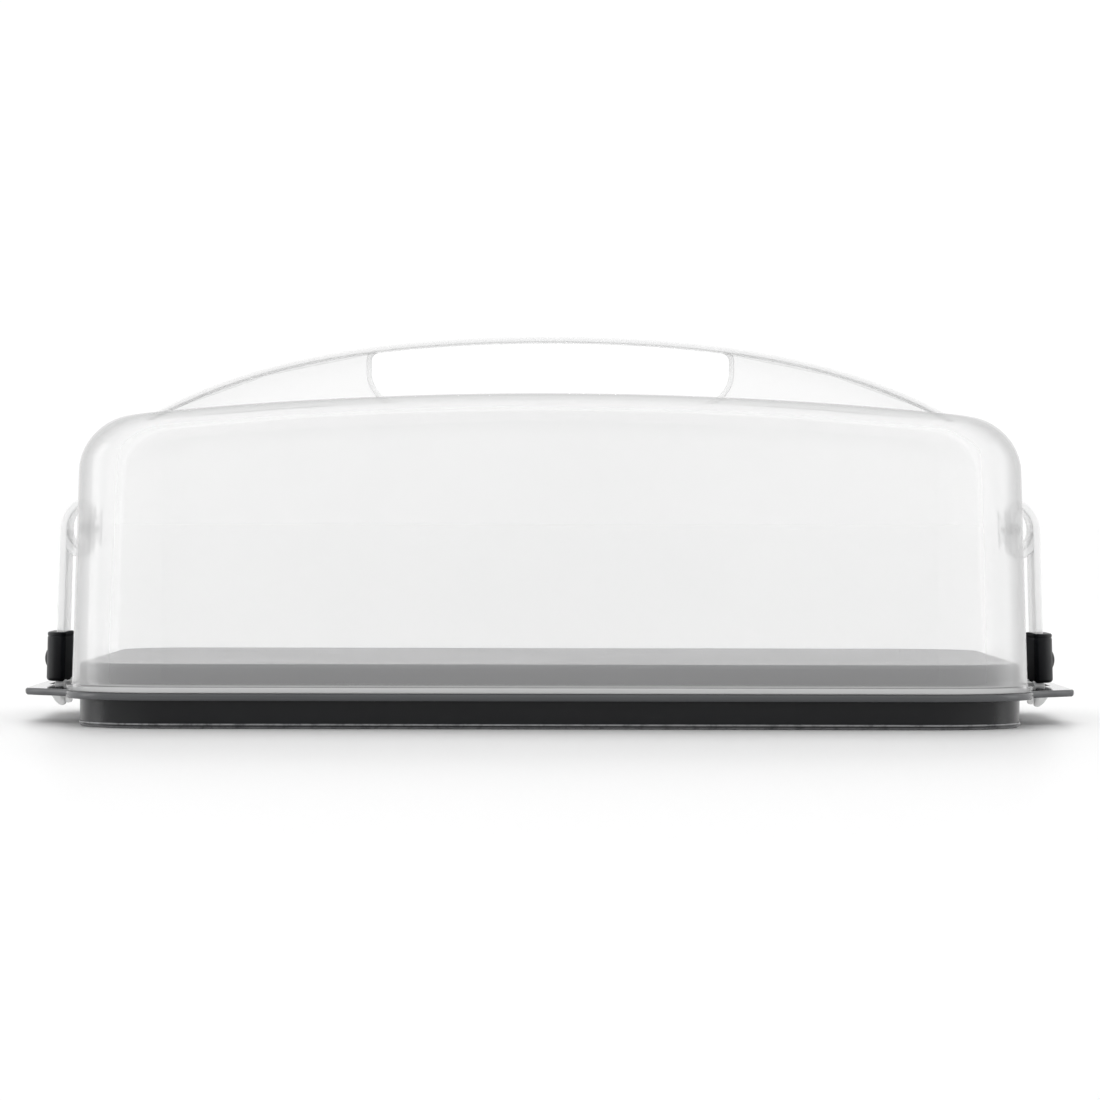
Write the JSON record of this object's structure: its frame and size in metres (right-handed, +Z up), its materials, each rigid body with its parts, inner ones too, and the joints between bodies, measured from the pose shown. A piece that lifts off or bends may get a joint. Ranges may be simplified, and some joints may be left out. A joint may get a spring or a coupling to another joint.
{
  "type": "cake carrier",
  "caption": "Rectangular cake carrier: a dark flat tray with side tabs, a milky see-through hood with an arched carry handle, and squeeze latches on the short sides.",
  "frame": {"origin": "on the table under the middle of the carrier, at the bottom of the foot", "axes": "+X along the long side, +Y from the front long wall to the back one, +Z up"},
  "size_m": [0.4414, 0.29, 0.1643],
  "materials": {
    "tray_plastic": "satin",
    "clear_plastic": "milky, see-through",
    "pin_plastic": "plain",
    "grip_rubber": "soft touch"
  },
  "bodies": {
    "base": {"tray": "tray_plastic"},
    "cover": {"hood": "clear_plastic", "carry_handle": "clear_plastic", "hinge_ears_left": "clear_plastic", "hinge_ears_right": "clear_plastic", "hinge_pin_left": "pin_plastic", "hinge_pin_right": "pin_plastic"},
    "latch_left": {"latch_arm_left": "clear_plastic", "latch_grip_left": "grip_rubber"},
    "latch_right": {"latch_arm_right": "clear_plastic", "latch_grip_right": "grip_rubber"}
  },
  "joints": [
    {"name": "hood_lift", "type": "slide", "parent": "base", "child": "cover", "axis": [0, 0, 1], "range_m": [0, 0.16]},
    {"name": "latch_left_hinge", "type": "hinge", "parent": "cover", "child": "latch_left", "pos_m": [-0.1995, 0, 0.0814], "axis": [0, -1, 0], "range_deg": [-1.5, 2.5], "stiffness_Nm_per_rad": 0.6},
    {"name": "latch_right_hinge", "type": "hinge", "parent": "cover", "child": "latch_right", "pos_m": [0.1995, 0, 0.0814], "axis": [0, 1, 0], "range_deg": [-1.5, 2.5], "stiffness_Nm_per_rad": 0.6}
  ]
}
